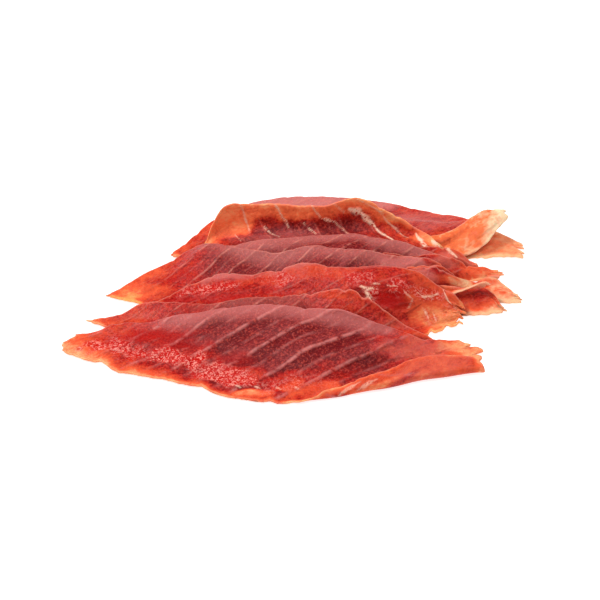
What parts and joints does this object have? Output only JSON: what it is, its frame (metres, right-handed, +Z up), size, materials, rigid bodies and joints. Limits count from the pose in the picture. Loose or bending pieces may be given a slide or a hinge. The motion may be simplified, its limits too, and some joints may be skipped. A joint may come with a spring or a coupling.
{
  "type": "tuna carpaccio",
  "caption": "Shallow heap of thin raw tuna slices laid one over another like shingles, with pointed ends, a standing rear rim and a folded front margin.",
  "frame": {"origin": "at the bottom of the heap, under the middle of its outline", "axes": "+X along the slices, from their left ends to their right ones; +Y away from the diner, from the front slice to the rear one; +Z up"},
  "size_m": [0.168, 0.122, 0.019],
  "materials": {
    "tuna_flesh": "moist raw tuna flesh, purple red in the middle of a slice, red to orange and slightly see-through at its edges, wet sheen"
  },
  "bodies": {
    "root": {"rear_bottom_slice": "tuna_flesh", "rear_back_slice": "tuna_flesh", "rear_lifted_slice": "tuna_flesh", "rim_slice": "tuna_flesh", "middle_low_slice": "tuna_flesh", "middle_back_slice": "tuna_flesh", "middle_tail_slice": "tuna_flesh", "middle_long_slice": "tuna_flesh", "right_low_slice": "tuna_flesh", "right_red_slice": "tuna_flesh", "right_tongue_slice": "tuna_flesh", "inner_red_slice": "tuna_flesh", "inner_front_slice": "tuna_flesh", "front_slice": "tuna_flesh"}
  },
  "joints": []
}
